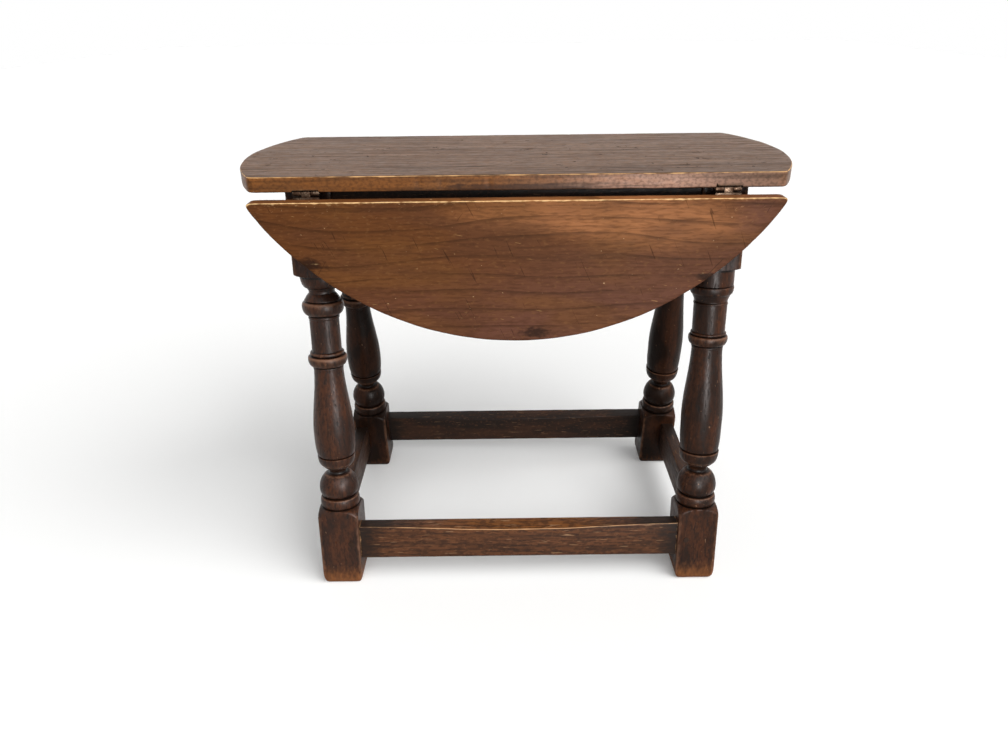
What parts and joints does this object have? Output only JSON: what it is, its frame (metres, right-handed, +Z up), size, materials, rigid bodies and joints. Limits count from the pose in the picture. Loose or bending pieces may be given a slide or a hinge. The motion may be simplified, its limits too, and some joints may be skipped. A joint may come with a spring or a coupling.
{
  "type": "drop-leaf stool table",
  "caption": "Small oak stool table with an oval top, hinged drop leaves, pull-out lopers and splayed turned legs joined by box stretchers.",
  "frame": {"origin": "on the floor, under the middle of the fixed top", "axes": "+X along the table, to the right seen from the front leaf; +Y from the front leaf to the rear leaf; +Z up"},
  "size_m": [0.627, 0.3286, 0.509],
  "materials": {
    "top_oak": "waxed, worn satin",
    "leaf_oak": "waxed, worn satin",
    "leg_oak": "dark stained and waxed",
    "rail_oak": "stained and waxed, worn",
    "inner_oak": "unpolished",
    "peg_oak": "dark end grain",
    "hinge_iron": "dull worn iron"
  },
  "bodies": {
    "frame": {"fixed_top": "top_oak", "leg_front_left": "leg_oak", "leg_front_right": "leg_oak", "leg_rear_left": "leg_oak", "leg_rear_right": "leg_oak", "apron_front": "rail_oak", "apron_rear": "rail_oak", "apron_left": "rail_oak", "apron_right": "rail_oak", "stretcher_front": "rail_oak", "stretcher_rear": "rail_oak", "stretcher_left": "rail_oak", "stretcher_right": "rail_oak", "loper_bearer": "inner_oak", "glue_block_front_left": "inner_oak", "glue_block_front_right": "inner_oak", "glue_block_rear_left": "inner_oak", "glue_block_rear_right": "inner_oak", "peg_stretcher_front_left": "peg_oak", "peg_stretcher_front_right": "peg_oak", "peg_stretcher_rear_left": "peg_oak", "peg_stretcher_rear_right": "peg_oak", "peg_stretcher_left_front": "peg_oak", "peg_stretcher_left_rear": "peg_oak", "peg_stretcher_right_front": "peg_oak", "peg_stretcher_right_rear": "peg_oak", "hinge_front_left_top_plate": "hinge_iron", "hinge_front_left_pin": "hinge_iron", "hinge_front_left_top_screw_1": "hinge_iron", "hinge_front_left_top_screw_2": "hinge_iron", "hinge_front_right_top_plate": "hinge_iron", "hinge_front_right_pin": "hinge_iron", "hinge_front_right_top_screw_1": "hinge_iron", "hinge_front_right_top_screw_2": "hinge_iron", "hinge_rear_left_top_plate": "hinge_iron", "hinge_rear_left_pin": "hinge_iron", "hinge_rear_left_top_screw_1": "hinge_iron", "hinge_rear_left_top_screw_2": "hinge_iron", "hinge_rear_right_top_plate": "hinge_iron", "hinge_rear_right_pin": "hinge_iron", "hinge_rear_right_top_screw_1": "hinge_iron", "hinge_rear_right_top_screw_2": "hinge_iron"},
    "front_leaf_body": {"front_leaf": "leaf_oak", "hinge_front_left_leaf_plate": "hinge_iron", "hinge_front_left_leaf_screw_1": "hinge_iron", "hinge_front_left_leaf_screw_2": "hinge_iron", "hinge_front_right_leaf_plate": "hinge_iron", "hinge_front_right_leaf_screw_1": "hinge_iron", "hinge_front_right_leaf_screw_2": "hinge_iron"},
    "rear_leaf_body": {"rear_leaf": "leaf_oak", "hinge_rear_left_leaf_plate": "hinge_iron", "hinge_rear_left_leaf_screw_1": "hinge_iron", "hinge_rear_left_leaf_screw_2": "hinge_iron", "hinge_rear_right_leaf_plate": "hinge_iron", "hinge_rear_right_leaf_screw_1": "hinge_iron", "hinge_rear_right_leaf_screw_2": "hinge_iron"},
    "front_left_loper": {"loper_front_left": "inner_oak"},
    "front_right_loper": {"loper_front_right": "inner_oak"},
    "rear_left_loper": {"loper_rear_left": "inner_oak"},
    "rear_right_loper": {"loper_rear_right": "inner_oak"}
  },
  "joints": [
    {"name": "front_leaf_hinge", "type": "hinge", "parent": "frame", "child": "front_leaf_body", "pos_m": [0, -0.126, 0.4912], "axis": [-1, 0, 0], "range_deg": [0, 90]},
    {"name": "rear_leaf_hinge", "type": "hinge", "parent": "frame", "child": "rear_leaf_body", "pos_m": [0, 0.126, 0.4912], "axis": [1, 0, 0], "range_deg": [0, 90]},
    {"name": "front_left_loper_slide", "type": "slide", "parent": "frame", "child": "front_left_loper", "axis": [0, -1, 0], "range_m": [0, 0.088]},
    {"name": "front_right_loper_slide", "type": "slide", "parent": "frame", "child": "front_right_loper", "axis": [0, -1, 0], "range_m": [0, 0.088]},
    {"name": "rear_left_loper_slide", "type": "slide", "parent": "frame", "child": "rear_left_loper", "axis": [0, 1, 0], "range_m": [0, 0.088]},
    {"name": "rear_right_loper_slide", "type": "slide", "parent": "frame", "child": "rear_right_loper", "axis": [0, 1, 0], "range_m": [0, 0.088]}
  ]
}
